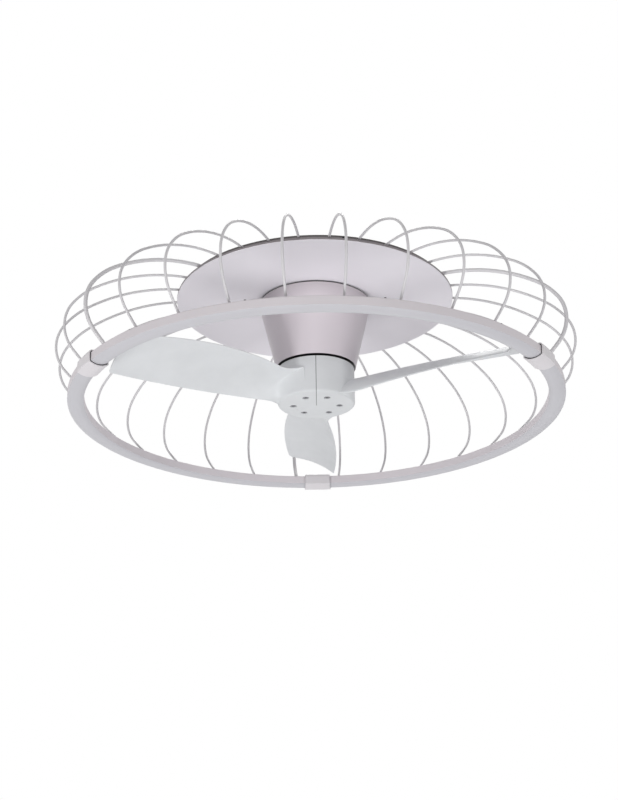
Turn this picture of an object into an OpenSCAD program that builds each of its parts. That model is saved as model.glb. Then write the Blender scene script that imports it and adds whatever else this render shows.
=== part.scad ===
// Flush ceiling fan with a ring light in a wire cage.
// Millimetres, +Z up. The origin is the centre of the ceiling face, so
// everything hangs below z = 0. Angles are measured from +X, seen from above.

/* [Cage and ring] */
// Outer diameter of the light ring
ring_d = 596; // [470:1:760]
// Ceiling to the lower edge of the ring's side walls
ring_drop = 151; // [125:1:190]
// Width of the ring, outside to inside
ring_w = 19.5; // [16:0.5:26]
// Height of the ring's side walls
ring_h = 10.4; // [8.6:0.1:14]
// How far the diffuser bulges below the side walls
diffuser_bulge = 3; // [1.5:0.1:5]
// Sheet thickness of the ring channel
channel_t = 1.4; // [1:0.1:2]
// Diameter of a plain cage rod
rod_d = 3; // [2:0.1:4]
// Diameter of a tube that carries the ring's leads
tube_d = 4.5; // [3.5:0.1:5.4]
// Number of rods and tubes around the cage, a multiple of three
spokes = 30; // [18:3:36]

/* [Canopy] */
// Diameter of the canopy's cover plate
plate_d = 342; // [260:1:420]
// Ceiling to the underside of the cover plate
canopy_h = 9.7; // [8:0.1:14]
// Height of the cover plate's rim
plate_h = 3; // [2:0.1:3.4]
// Sheet thickness of the cover plate
plate_t = 1.5; // [1:0.1:2]
// How far the cover plate stands out past the drum
plate_overhang = 6.5; // [3:0.5:12]
// Sheet thickness of the drum
drum_t = 1.5; // [1:0.1:2]
// Thickness of the ceiling bracket
bracket_t = 2; // [1.5:0.1:2.5]

/* [Motor housing] */
// Diameter of the housing at its top
cone_top_d = 138.2; // [115:0.2:166]
// Diameter of the housing at its lower edge
cone_low_d = 97.6; // [88:0.2:118]
// Wall thickness of the housing
cone_t = 2; // [1.5:0.1:3]
// Shadow gap between the cover plate and the housing
cone_reveal = 1.5; // [0.5:0.1:4]

/* [Hub and blades] */
// Diameter of the hub
hub_d = 93.6; // [78:0.2:112]
// Height of the hub
hub_h = 46.3; // [41:0.1:52]
// Wall thickness of the hub
hub_t = 2.4; // [1.8:0.1:2.8]
// Thickness of the hub floor
floor_t = 4; // [3.2:0.1:6]
// Gap between the blade tips and the inside of the ring
tip_gap = 18.5; // [10:0.5:60]
// Widest chord of a blade
chord_max = 75; // [56:1:91]
// Chord of a blade beside the hub
chord_root = 48; // [40:0.5:54]
// Pitch angle of the blade at its tip
pitch_tip = 20.8; // [12:0.1:25]
// Depth of the hollow under the blade
camber = 5.6; // [3:0.1:10]
// Greatest thickness of the blade at the hub
blade_t = 4.6; // [3.5:0.1:6]
// Radius of the tip's upper corner
tip_corner_r = 7.5; // [4:0.5:20]
// Radius of the screw circle under the hub
hub_screw_r = 28; // [24:0.5:29]

/* [Motor] */
// Gap between the turning can and the hub's wall
can_gap = 2.4; // [1:0.1:4]
// Height of the can
can_h = 36; // [32:0.5:43]
// Diameter of the shaft
shaft_d = 8; // [6:0.1:9.6]
// Height of the stator's core
core_h = 18; // [14:0.5:22]
// Number of teeth on the stator
teeth = 12; // [9:3:15]

/* [Hidden] */
$fn = 96;
eps = 0.01;

// clearances
slip = 0.3;       // between pieces that are only located by each other
hole_slack = 0.15; // round a rod or a screw, on the radius
fit = 0.02;       // pressed or glued seats, on the radius
run_fit = 0.05;   // the shaft in its bearings, on the radius
hub_gap = 2.1;    // the housing's lower edge to the hub's upper edge

// thirds of the fan
blades = 3;
sector = 360 / blades;
blade_az = 90; // azimuth of the first blade and of the first ring joint
spoke_step = 360 / spokes;
hub_r = hub_d / 2;

// small screws
m3_r = 1.5;
m3_head_r = 2.5;
m3_head_h = 1.6;

// ring: z = ring_z is the crease between side wall and diffuser
ring_r = ring_d / 2;
ring_in_r = ring_r - ring_w;
ring_mid_r = ring_r - ring_w / 2;
ring_z = -ring_drop;
ring_top_z = ring_z + ring_h;
joint_gap_deg = 0.6;  // half of the gap between two ring channels
corner_r = 1.5;       // rounding of the channel's upper corners
lens_t = 1.5;         // thickness of the diffuser
arch_r = (ring_w * ring_w / 4 + diffuser_bulge * diffuser_bulge) / (2 * diffuser_bulge);
arch_c = [ring_mid_r, ring_z - diffuser_bulge + arch_r]; // centre of the diffuser's arch
leg_t = 1.2;          // the diffuser's snap legs
bar_h = 3.4;          // heat-sink bar that carries the light strip
led_count = 28;       // chips on one ring section
led_size = 2.8;
led_h = 0.7;
clip_t = 2.1;         // wall of the clip that covers a ring joint
clip_half_deg = 3.45;
clip_mouth = 3;       // depth of the relief inside each mouth of the clip
clip_relief = 0.9;
ring_screw_step = 28.3; // angle between the screws on the ring
ring_screws_each = 4;
ring_screw_r = 0.8;
ring_screw_at = ring_r - 3; // distance of these screws from the axis
leg_h = ring_h - channel_t - bar_h - 0.6; // the diffuser's legs end below the bar

// canopy
drum_r = plate_d / 2 - plate_overhang;
plate_r = plate_d / 2;
plate_z = -canopy_h; // underside of the cover plate
drum_z = plate_z + plate_t; // the drum stands on the plate
drum_foot_w = 13;
drum_foot_t = 1;
side_screw_z = drum_z + 4;
arm_az = blade_az + 6 * spoke_step; // first bracket arm, midway between two rods
arm_w = 24;
tab_w = 14;
tab_r = drum_r - drum_t - slip;
bracket_r = 85;
slot_span = 120; // between the two ceiling screws
slot_l = 20;
slot_w = 5;
cable_y = 23;
cable_entry_r = 7;
cable_pass_r = 5;

// spokes: a rod leaves the drum level and turns down in four arcs
spoke_z = (plate_z + plate_h) / 2;
spoke_inset = 4;   // length inside the drum wall
lead_in = 1;       // straight length outside it
turns = [33, 22, 76, 7]; // degrees turned by each arc
low_r = 47.5;      // radius of the third arc, at the widest point
foot_sweep_r = 200; // radius of the fourth arc, running in to the ring
foot_bend_r = 4;   // last bend, into the ring's hole
foot_in = 3;       // length below the ring's upper face
seam_gap = 0.08;   // each length of bar stops this far short of its seam
seam_h = 0.3;
seam_out = 0.02;
tube_wall = 0.8;
head_out = 0.7;    // the upset head inside the drum, on the radius
head_h = 1;
foot_r = ring_in_r + 5.5;
per_third = spokes / blades;
bar_in_r = foot_r + tube_d / 2 + slip;
bar_out_r = ring_r - channel_t - slip;

// motor housing
cone_top_z = plate_z - cone_reveal;
hub_z = ring_z + 6.2; // underside of the hub
hub_top_z = hub_z + hub_h;
cone_low_z = hub_top_z + hub_gap;
cone_top_r = cone_top_d / 2;
cone_low_r = cone_low_d / 2;
neck_w = 6.8; // the housing's ring that sits against the cover plate
flange_r = cone_top_r - cone_t - neck_w - slip;
flange_t = 3;
flange_z = plate_z - flange_t;
flange_screw_r = flange_r - 8;
neck_screw_r = cone_top_r - cone_t - neck_w / 2;
shield_t = 1.5;
shield_up = 3.5; // the shield's underside above the housing's lower edge
shield_z = cone_low_z + shield_up;
cone_slope = (cone_top_r - cone_low_r) / (cone_top_z - cone_low_z);
function cone_outer(z) = cone_low_r + cone_slope * (z - cone_low_z);
function cone_inner(z) = cone_outer(z) - cone_t;
driver_y = 4;       // from the bearing sleeve to the driver box
driver_deep = 24;
driver_low = 19.6;  // from the driver box down to the shield

// motor
can_r = hub_r - hub_t - can_gap;
can_t = 2;
can_z = hub_z + floor_t; // underside of the can
can_floor_t = 3;
boss_r = 8;
boss_h = 3.8;
shaft_r = shaft_d / 2;
magnet_t = 3.5;
magnet_h = core_h + 4;
magnets = 16;
air_gap = 0.6;
core_r = can_r - can_t - magnet_t - air_gap;
core_z = can_z + can_floor_t + 7.8; // underside of the stator core
coil_over = 4; // winding above and below the core
sleeve_r = 14; // outside of the fixed sleeve that holds the bearings
bearing_r = 11;
bearing_h = 7;
sleeve_z = can_z + can_floor_t + boss_h + 1.5;
low_bearing_z = sleeve_z + 0.5;
top_bearing_z = low_bearing_z + bearing_h + 12.9;
clip_ring_t = 1;
clip_ring_z = top_bearing_z + bearing_h + slip;

// hub and blades
blade_r = ring_in_r - tip_gap;
seam_deg = 0.5;      // gap between two hub sectors
hub_round = 3.5;     // rounding of the hub's lower edge
hub_screw_head_r = 3.4;
hub_screw_head_h = 2;
hub_sink_r = 4;
hub_sink_h = 2.4;
hub_screw_shank_r = 2;
hub_screw_deg = 32.6; // from a blade's azimuth to each of its two hub screws
root_x = 60;         // where chord_root is measured
wide_x = mix(root_x, blade_r, 0.606);  // where the chord is widest
sweep_x = mix(root_x, blade_r, 0.675); // where the low edge lies furthest out
low_y = -25.2;       // how far from the blade's axis it lies there
sweep_bend = 0.00066;
low_rise = 0.003;    // rise of the low edge per millimetre of span
twist_power = 0.455; // how fast the pitch grows towards the hub
flare_x = 64;        // the root widens inside this distance
flare_low = 14;
flare_high = 15;
flare_rise = 6;
tip_rake = 5.3;      // how much shorter the high side is
rake_power = 2.4;
low_corner_r = 1.5;
edge_t = 1.1;        // thickness along the blade's edge
tip_thin = 0.55;     // thickness at the tip as a share of that at the hub
web_min = 2;         // reach of the root web at the high side
web_max = 34;        // and at the low side
web_rows = 3;
span_rows = 18;
chord_cols = 16;

// the spokes are counted from the first ring joint, which lies midway between two,
// and the first spoke after each joint is a tube
spoke_ids = [for (i = [0:spokes - 1]) i];
function spoke_az(i) = blade_az + (i + 0.5) * spoke_step;
function is_tube(i) = i % per_third == 0;
function tube_no(i) = floor(i / per_third) + 1;
function rods_before(i) = len([for (k = spoke_ids) if (k < i && !is_tube(k)) k]);
function two_digits(n) = n < 10 ? str("0", n) : str(n);
function spoke_name(i) =
    is_tube(i) ? str("feed_tube_", tube_no(i))
               : str("cage_rod_", two_digits(rods_before(i) + 1));
function numbered(name) = [for (k = [1:blades]) str(name, "_", k)];

// ---------------------------------------------------------------- helpers

// points of an arc in the plane, from angle a0 to a1 about the point c
function arc(c, r, a0, a1, n = 6) =
    [for (k = [0:n]) c + r * [cos(a0 + (a1 - a0) * k / n), sin(a0 + (a1 - a0) * k / n)]];
function mix(a, b, t) = a + (b - a) * t;
function clamp01(t) = min(1, max(0, t));

// something copied to each of the three thirds of the fan
module thirds(az = 0) {
    for (k = [0:blades - 1])
        rotate([0, 0, az + k * sector])
            children();
}

// a cylinder lying along +X from x0 to x1
module rod_x(r, x0, x1) {
    translate([x0, 0, 0])
        rotate([0, 90, 0])
            cylinder(r = r, h = x1 - x0);
}

// a ring turned from a rectangle
module band(r0, r1, z0, z1) {
    difference() {
        translate([0, 0, z0])
            cylinder(r = r1, h = z1 - z0);
        translate([0, 0, z0 - 1])
            cylinder(r = r0, h = z1 - z0 + 2);
    }
}

// ---------------------------------------------------------------- canopy

module ceiling_bracket() {
    color("silver")
        difference() {
            union() {
                translate([0, 0, -bracket_t])
                    linear_extrude(bracket_t)
                        bracket_outline();
                thirds(arm_az)
                    bracket_tab();
            }
            thirds(arm_az)
                translate([0, 0, side_screw_z])
                    rod_x(m3_r + fit, tab_r - 2 * bracket_t, tab_r + 1);
        }
}

// the flat plate: a disc with three arms, two slots and the cable hole
module bracket_outline() {
    difference() {
        union() {
            circle(r = bracket_r);
            thirds(arm_az)
                translate([bracket_r / 2, -arm_w / 2])
                    square([tab_r - bracket_r / 2 - 1, arm_w]);
        }
        for (side = [-1, 1])
            translate([side * slot_span / 2, 0])
                slot();
        translate([0, cable_y])
            circle(r = cable_entry_r);
    }
}

// the end of an arm, bent down for the canopy's side screw
module bracket_tab() {
    tab_z = drum_z + drum_foot_t + slip;
    translate([tab_r - bracket_t - 1.2, -tab_w / 2, tab_z])
        cube([bracket_t, tab_w, -bracket_t / 2 - tab_z]);
}

// one slotted hole along X
module slot() {
    half = (slot_l - slot_w) / 2;
    translate([-half, -slot_w / 2])
        square([2 * half, slot_w]);
    for (side = [-1, 1])
        translate([side * half, 0])
            circle(r = slot_w / 2);
}

module canopy_drum() {
    color("gainsboro")
        difference() {
            rotate_extrude()
                polygon([
                    [drum_r, 0],
                    [drum_r - drum_t, 0],
                    [drum_r - drum_t, drum_z + drum_foot_t],
                    [drum_r - drum_foot_w, drum_z + drum_foot_t],
                    [drum_r - drum_foot_w, drum_z],
                    [drum_r, drum_z]
                ]);
            for (i = spoke_ids)
                rotate([0, 0, spoke_az(i)])
                    translate([0, 0, spoke_z])
                        rod_x(spoke_radius(i) + hole_slack, drum_r - 2 * drum_t, drum_r + 1);
            thirds(arm_az)
                translate([0, 0, side_screw_z])
                    rod_x(m3_r + hole_slack, drum_r - 2 * drum_t, drum_r + 1);
        }
}

// a shallow tray with its rim turned up
module canopy_plate() {
    lip_r = 1;
    color("gainsboro")
        difference() {
            rotate_extrude()
                polygon(concat(
                    [[0, plate_z]],
                    arc([plate_r - lip_r, plate_z + lip_r], lip_r, -90, 0, 4),
                    [[plate_r, plate_z + plate_h],
                     [plate_r - plate_t, plate_z + plate_h],
                     [plate_r - plate_t, plate_z + plate_t],
                     [0, plate_z + plate_t]]
                ));
            translate([0, cable_y, plate_z - 1])
                cylinder(r = cable_pass_r, h = plate_h + 2);
            thirds(arm_az + sector / 2)
                for (r = [flange_screw_r, neck_screw_r])
                    translate([r, 0, plate_z - 1])
                        cylinder(r = m3_r + hole_slack, h = plate_h + 2);
        }
}

// an M3 screw pointing along -Z, its head standing on z = 0
module m3_screw(l) {
    socket_r = 1.4;
    difference() {
        union() {
            cylinder(r = m3_head_r, h = m3_head_h);
            translate([0, 0, -l])
                cylinder(r = m3_r, h = l + eps);
        }
        translate([0, 0, m3_head_h / 2])
            cylinder(r = socket_r, h = m3_head_h, $fn = 6);
    }
}

module canopy_screws() {
    color("dimgray") {
        thirds(arm_az)
            translate([drum_r, 0, side_screw_z])
                rotate([0, 90, 0])
                    m3_screw(drum_r - tab_r + 4);
        thirds(arm_az + sector / 2)
            for (r = [flange_screw_r, neck_screw_r])
                translate([r, 0, plate_z + plate_t])
                    m3_screw(plate_t + flange_t - 0.5);
    }
}

// ---------------------------------------------------------------- electrics in the housing

// three ways, open at both sides for the wires and from below for the screwdriver,
// on two feet that hold it clear of the housing's neck
module terminal_block() {
    ways = 3;
    way_w = 10;
    deep = 18;
    h = 16;
    foot_h = 1;
    foot_w = 6;
    wire_r = 2.6;
    driver_r = 2;
    wire_z = h / 2 - 2;
    color("whitesmoke")
        translate([-ways * way_w / 2, cable_y + 6, flange_z - h])
            difference() {
                union() {
                    cube([ways * way_w, deep, h - foot_h]);
                    for (k = [0.5, ways - 0.5])
                        translate([k * way_w - foot_w / 2, foot_h, h - foot_h - eps])
                            cube([foot_w, deep - 2 * foot_w, foot_h + eps]);
                }
                for (k = [0:ways - 1])
                    translate([(k + 0.5) * way_w, -1, wire_z])
                        rotate([-90, 0, 0])
                            cylinder(r = wire_r, h = deep + 2);
                for (k = [0:ways - 1], y = [deep / 4, 3 * deep / 4])
                    translate([(k + 0.5) * way_w, y, -1])
                        cylinder(r = driver_r, h = wire_z);
            }
}

// beside the sleeve, as wide as the housing lets it be at its lower end
module driver_box() {
    low_z = shield_z + shield_t + driver_low;
    near_y = sleeve_r + driver_y;
    far_y = near_y + driver_deep;
    room_r = cone_inner(low_z) - 2.5;
    half_w = sqrt(room_r * room_r - far_y * far_y);
    slots = 6;
    slot_step = 7;
    color("darkslategray")
        difference() {
            translate([-half_w, -far_y, low_z])
                cube([2 * half_w, driver_deep, flange_z - low_z]);
            for (k = [0:slots - 1])
                translate([(k - slots / 2 + 0.5) * slot_step - 1, -far_y - 1, flange_z - 18])
                    cube([2, 3, 12]);
        }
}

// ---------------------------------------------------------------- fixed motor parts

// cast plate under the canopy with the long sleeve that holds the bearings
module motor_flange() {
    sleeve_top = flange_z + eps;
    shoulder = 2; // step that each bearing sits against
    color("lightgray")
        difference() {
            union() {
                translate([0, 0, flange_z])
                    cylinder(r = flange_r, h = flange_t);
                translate([0, 0, sleeve_z])
                    cylinder(r = sleeve_r, h = sleeve_top - sleeve_z);
            }
            translate([0, 0, sleeve_z - 1])
                cylinder(r = bearing_r + fit, h = low_bearing_z + bearing_h - sleeve_z + 1);
            translate([0, 0, sleeve_z])
                cylinder(r = bearing_r - shoulder, h = -sleeve_z);
            translate([0, 0, top_bearing_z])
                cylinder(r = bearing_r + fit, h = -top_bearing_z);
            translate([0, cable_y, flange_z - 1])
                cylinder(r = cable_pass_r, h = flange_t + 2);
            thirds(arm_az + sector / 2)
                translate([flange_screw_r, 0, flange_z - 1])
                    cylinder(r = m3_r + fit, h = flange_t + 2);
        }
}

// tapered shell with a ring at the top that sits round the flange, and a shield
// across the inside near the lower edge
module motor_housing() {
    roof_z = cone_top_z - 2;
    shield_top = shield_z + shield_t;
    color("mistyrose")
        difference() {
            rotate_extrude()
                polygon([
                    [cone_low_r, cone_low_z],
                    [cone_top_r, cone_top_z],
                    [cone_top_r - cone_t, cone_top_z],
                    [cone_top_r - cone_t, plate_z],
                    [flange_r + slip, plate_z],
                    [flange_r + slip, roof_z],
                    [cone_inner(roof_z), roof_z],
                    [cone_inner(shield_top), shield_top],
                    [sleeve_r + 1, shield_top],
                    [sleeve_r + 1, shield_z],
                    [cone_inner(shield_z), shield_z],
                    [cone_inner(cone_low_z), cone_low_z]
                ]);
            thirds(arm_az + sector / 2)
                translate([neck_screw_r, 0, roof_z - 1])
                    cylinder(r = m3_r + fit, h = plate_z - roof_z + 2);
        }
}

// two deep-groove bearings, each drawn as one closed ring with its shield grooves
module ball_bearings() {
    groove = 0.4;
    in_r = shaft_r + run_fit;
    mid0 = mix(in_r, bearing_r, 0.3);
    mid1 = mix(in_r, bearing_r, 0.7);
    color("silver")
        for (z = [low_bearing_z, top_bearing_z])
            translate([0, 0, z])
                difference() {
                    band(in_r, bearing_r, 0, bearing_h);
                    band(mid0, mid1, -1, groove);
                    band(mid0, mid1, bearing_h - groove, bearing_h + 1);
                }
}

module stator_core() {
    yoke_r = sleeve_r + 5;
    tooth_w = 5;
    shoe = 2;
    open_deg = 6; // slot opening between two shoes
    color("slategray")
        translate([0, 0, core_z])
            linear_extrude(core_h)
                difference() {
                    union() {
                        circle(r = yoke_r);
                        for (k = [0:teeth - 1])
                            rotate(k * 360 / teeth)
                                translate([yoke_r - 1, -tooth_w / 2])
                                    square([core_r - shoe / 2 - yoke_r + 1, tooth_w]);
                        difference() {
                            circle(r = core_r);
                            circle(r = core_r - shoe);
                            for (k = [0:teeth - 1])
                                rotate((k + 0.5) * 360 / teeth)
                                    polygon([[0, 0],
                                             [2 * core_r, -2 * core_r * tan(open_deg / 2)],
                                             [2 * core_r, 2 * core_r * tan(open_deg / 2)]]);
                        }
                    }
                    circle(r = sleeve_r + fit);
                }
}

// one coil round each tooth, narrow at the yoke and wide at the shoe
module stator_windings() {
    x0 = sleeve_r + 6;
    x1 = core_r - 3;
    hole = 5.6;
    half0 = x0 * tan(180 / teeth) - 0.5;
    half1 = x1 * tan(180 / teeth) - 0.5;
    color("peru")
        for (k = [0:teeth - 1])
            rotate([0, 0, k * 360 / teeth])
                difference() {
                    translate([0, 0, core_z - coil_over])
                        linear_extrude(core_h + 2 * coil_over)
                            polygon([[x0, -half0], [x1, -half1], [x1, half1], [x0, half0]]);
                    translate([x0 - 1, -hole / 2, core_z - slip])
                        cube([x1 - x0 + 2, hole, core_h + 2 * slip]);
                }
}

// ---------------------------------------------------------------- turning motor parts

module motor_shaft() {
    color("silver")
        difference() {
            translate([0, 0, can_z + 0.5])
                cylinder(r = shaft_r, h = clip_ring_z + 3 - can_z);
            band(shaft_r - 0.4, shaft_r + 1, clip_ring_z, clip_ring_z + clip_ring_t);
        }
}

// the spring clip that keeps the shaft from dropping out of the bearings
module shaft_clip() {
    color("dimgray")
        difference() {
            band(shaft_r - 0.4 + fit, shaft_r + 2.4, clip_ring_z + fit, clip_ring_z + clip_ring_t - fit);
            translate([0, -1.5, clip_ring_z - 1])
                cube([2 * shaft_r, 3, clip_ring_t + 2]);
        }
}

module rotor_can() {
    color("silver")
        difference() {
            union() {
                difference() {
                    translate([0, 0, can_z])
                        cylinder(r = can_r, h = can_h);
                    translate([0, 0, can_z + can_floor_t])
                        cylinder(r = can_r - can_t, h = can_h);
                }
                translate([0, 0, can_z + can_floor_t - eps])
                    cylinder(r = boss_r, h = boss_h + eps);
            }
            translate([0, 0, can_z + 0.5])
                cylinder(r = shaft_r + fit, h = can_h);
            hub_screw_places()
                translate([0, 0, can_z - 1])
                    cylinder(r = hub_screw_shank_r + fit, h = can_floor_t + 2);
        }
}

module rotor_magnets() {
    gap_deg = 1.5;
    step = 360 / magnets;
    color("dimgray")
        for (k = [0:magnets - 1])
            rotate([0, 0, k * step + gap_deg / 2])
                translate([0, 0, core_z + core_h / 2 - magnet_h / 2])
                    rotate_extrude(angle = step - gap_deg)
                        translate([can_r - can_t - magnet_t, 0])
                            square([magnet_t - fit, magnet_h]);
}

// ---------------------------------------------------------------- blades

// where the six hub screws go: two in each sector
module hub_screw_places() {
    thirds(blade_az)
        for (side = [-1, 1])
            rotate([0, 0, side * hub_screw_deg])
                translate([hub_screw_r, 0, 0])
                    children();
}

// The blade is described by its low edge and by a chord that leans up from it.
// x runs out along the blade and s across it, 0 at the low edge and 1 at the
// high edge, which goes first when the fan blows down.
function pitch(x) = atan(tan(pitch_tip) * pow(blade_r / x, twist_power));
function chord(x) = chord_max - (chord_max - chord_root) * pow((x - wide_x) / (wide_x - root_x), 2);
function flare(x) = pow(clamp01((flare_x - x) / (flare_x - hub_r + 10)), 2);
function low_edge(x) = [
    low_y + sweep_bend * pow(x - sweep_x, 2) - flare_low * flare(x),
    hub_z + low_rise * max(0, x - hub_r)
];
function high_edge(x) = [
    low_y + sweep_bend * pow(x - sweep_x, 2) + chord(x) * cos(pitch(x)) + flare_high * flare(x),
    low_edge(x)[1] + chord(x) * sin(pitch(x)) + flare_rise * flare(x)
];
function thick(x, s) =
    edge_t + (blade_t - edge_t) * mix(1, tip_thin, (x - hub_r) / (blade_r - hub_r)) * sqrt(4 * s * (1 - s));
// a point of the section at x: across s, raised by up from the chord's underside
function section(x, s, up) =
    let (a = low_edge(x), b = high_edge(x), along = (b - a) / norm(b - a))
    a + (b - a) * s + [-along[1], along[0]] * (camber * 4 * s * (1 - s) + up);

// the root lies in the hub's wall, and the tip has its own outline
wall_r = hub_r - hub_t / 2;
function on_wall(x, s) = let (y = section(x, s, 0)[0]) sqrt(wall_r * wall_r - y * y);
function root_end(s) = on_wall(on_wall(on_wall(hub_r - 4, s), s), s);
function round_off(r, d) = d >= r ? 0 : r - sqrt(r * r - (r - d) * (r - d));
function tip_end(s) =
    blade_r - tip_rake * pow(s, rake_power)
    - round_off(tip_corner_r, (1 - s) * chord(blade_r))
    - round_off(low_corner_r, s * chord(blade_r));
function web_reach(s) = web_min + web_max * pow(1 - s, 2.2);
function row_x(row, s) =
    let (r0 = root_end(s), r1 = r0 + web_reach(s))
    row < web_rows ? mix(r0, r1, row / web_rows)
                   : mix(r1, tip_end(s), sin(90 * pow((row - web_rows) / span_rows, 1.2)));
function col_s(col) = (1 - cos(180 * col / chord_cols)) / 2;
function upper_point(row, col) =
    let (s = col_s(col), x = row_x(row, s), p = section(x, s, thick(x, s)))
    [x, p[0], p[1]];
// under the root the blade is filled down to the rounded edge of the hub's floor
function lower_point(row, col) =
    let (s = col_s(col), x = row_x(row, s), p = section(x, s, 0))
    [x, p[0], mix(hub_z + 1, p[1], clamp01(row / web_rows))];

module blade_skin() {
    rows = web_rows + span_rows;
    wide = chord_cols + 1;
    half = (rows + 1) * wide;
    points = concat(
        [for (r = [0:rows], c = [0:chord_cols]) upper_point(r, c)],
        [for (r = [0:rows], c = [0:chord_cols]) lower_point(r, c)]
    );
    // the point numbers round the rim, once about
    rim = concat(
        [for (c = [0:chord_cols - 1]) c],
        [for (r = [0:rows - 1]) r * wide + chord_cols],
        [for (c = [chord_cols:-1:1]) rows * wide + c],
        [for (r = [rows:-1:1]) r * wide]
    );
    top = [for (r = [0:rows - 1], c = [0:chord_cols - 1], t = [0, 1])
        let (q = r * wide + c)
        t == 0 ? [q, q + wide + 1, q + wide] : [q, q + 1, q + wide + 1]];
    under = [for (f = top) [f[0] + half, f[2] + half, f[1] + half]];
    edge = [for (k = [0:len(rim) - 1], t = [0, 1])
        let (a = rim[k], b = rim[(k + 1) % len(rim)])
        t == 0 ? [a, a + half, b + half] : [a, b + half, b]];
    polyhedron(points, concat(top, under, edge), convexity = 4);
}

// one third of the hub: a wall and a floor, with two sunk screw holes
module hub_sector() {
    in_r = hub_r - hub_t;
    lip = 0.6;
    difference() {
        rotate([0, 0, -sector / 2 + seam_deg / 2])
            rotate_extrude(angle = sector - seam_deg)
                polygon(concat(
                    [[0.6, hub_z]],
                    arc([hub_r - hub_round, hub_z + hub_round], hub_round, -90, 0, 6),
                    arc([hub_r - lip, hub_top_z - lip], lip, 0, 90, 2),
                    [[in_r, hub_top_z], [in_r, hub_z + floor_t], [0.6, hub_z + floor_t]]
                ));
        for (side = [-1, 1])
            rotate([0, 0, side * hub_screw_deg])
                translate([hub_screw_r, 0, hub_z - 1]) {
                    cylinder(r = hub_screw_shank_r + hole_slack, h = floor_t + 2);
                    cylinder(r = hub_sink_r, h = hub_sink_h + 1);
                }
    }
}

// blade k, moulded in one piece with its third of the hub
module blade(k) {
    color("whitesmoke")
        rotate([0, 0, blade_az + (k - 1) * sector])
            union() {
                hub_sector();
                blade_skin();
            }
}

module blade_screws() {
    socket_r = 1.5;
    color("dimgray")
        hub_screw_places()
            translate([0, 0, hub_z + hub_sink_h])
                mirror([0, 0, 1])
                    difference() {
                        union() {
                            cylinder(r = hub_screw_head_r, h = hub_screw_head_h);
                            translate([0, 0, hub_sink_h - floor_t - can_floor_t])
                                cylinder(r = hub_screw_shank_r, h = floor_t + can_floor_t - hub_sink_h + eps);
                        }
                        translate([0, 0, hub_screw_head_h / 2])
                            cylinder(r = socket_r, h = hub_screw_head_h, $fn = 6);
                    }
}

// ---------------------------------------------------------------- light ring

// the azimuth at which ring section k starts, at the middle of its first joint
function joint_az(k) = blade_az + (k - 1) * sector;

// a profile in (radius, height) turned through ring section k
module ring_sweep(k) {
    rotate([0, 0, joint_az(k) + joint_gap_deg])
        rotate_extrude(angle = sector - 2 * joint_gap_deg)
            children();
}

// places round ring section k that are off its middle by steps of ring_screw_step
module ring_screw_places(k) {
    for (n = [0:ring_screws_each - 1])
        rotate([0, 0, joint_az(k) + sector / 2 + (n - (ring_screws_each - 1) / 2) * ring_screw_step])
            children();
}

// a channel open at the bottom, drilled for the rods' feet and the bars' screws
module ring_channel(k) {
    low = ring_z;
    inner_top = ring_top_z - channel_t;
    color("mistyrose")
        difference() {
            ring_sweep(k)
                polygon(concat(
                    [[ring_r, low]],
                    arc([ring_r - corner_r, ring_top_z - corner_r], corner_r, 0, 90, 3),
                    arc([ring_in_r + corner_r, ring_top_z - corner_r], corner_r, 90, 180, 3),
                    [[ring_in_r, low], [ring_in_r + channel_t, low],
                     [ring_in_r + channel_t, inner_top],
                     [ring_r - channel_t, inner_top], [ring_r - channel_t, low]]
                ));
            for (i = spoke_ids)
                if (floor(i / per_third) == k - 1)
                    rotate([0, 0, spoke_az(i)])
                        translate([foot_r, 0, inner_top - 1])
                            cylinder(r = spoke_radius(i) + hole_slack, h = channel_t + 2);
            ring_screw_places(k)
                translate([ring_screw_at, 0, inner_top - 1])
                    cylinder(r = ring_screw_r + hole_slack, h = channel_t + 2);
        }
}

// the opal cover: a shallow arch with two legs that snap inside the channel
module ring_diffuser(k) {
    in_r = arch_r - lens_t;
    leg_out = ring_w / 2 - channel_t - slip;
    leg_in = leg_out - leg_t;
    out_a = asin(ring_w / 2 / arch_r);
    in_a = asin(leg_in / in_r);
    leg_top = ring_z + leg_h;
    color("white")
        ring_sweep(k)
            polygon(concat(
                arc(arch_c, arch_r, -90 - out_a, -90 + out_a, 14),
                [[ring_mid_r + leg_out, ring_z], [ring_mid_r + leg_out, leg_top],
                 [ring_mid_r + leg_in, leg_top]],
                arc(arch_c, in_r, -90 + in_a, -90 - in_a, 10),
                [[ring_mid_r - leg_in, leg_top],
                 [ring_mid_r - leg_out, leg_top], [ring_mid_r - leg_out, ring_z]]
            ));
}

// three aluminium bars under the channels' webs, each with a row of light chips
module led_boards() {
    bar_top = ring_top_z - channel_t;
    bar_mid_r = (bar_in_r + bar_out_r) / 2;
    end_deg = 2;
    color("gold")
        for (k = [1:blades])
            difference() {
                union() {
                    rotate([0, 0, joint_az(k) + end_deg])
                        rotate_extrude(angle = sector - 2 * end_deg)
                            translate([bar_in_r, bar_top - bar_h])
                                square([bar_out_r - bar_in_r, bar_h]);
                    for (n = [0:led_count - 1])
                        rotate([0, 0, joint_az(k) + sector * (n + 0.5) / led_count])
                            translate([bar_mid_r - led_size / 2, -led_size / 2, bar_top - bar_h - led_h])
                                cube([led_size, led_size, led_h + eps]);
                }
                ring_screw_places(k)
                    translate([ring_screw_at, 0, bar_top - bar_h - 1])
                        cylinder(r = ring_screw_r + fit, h = bar_h + 2);
            }
}

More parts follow.
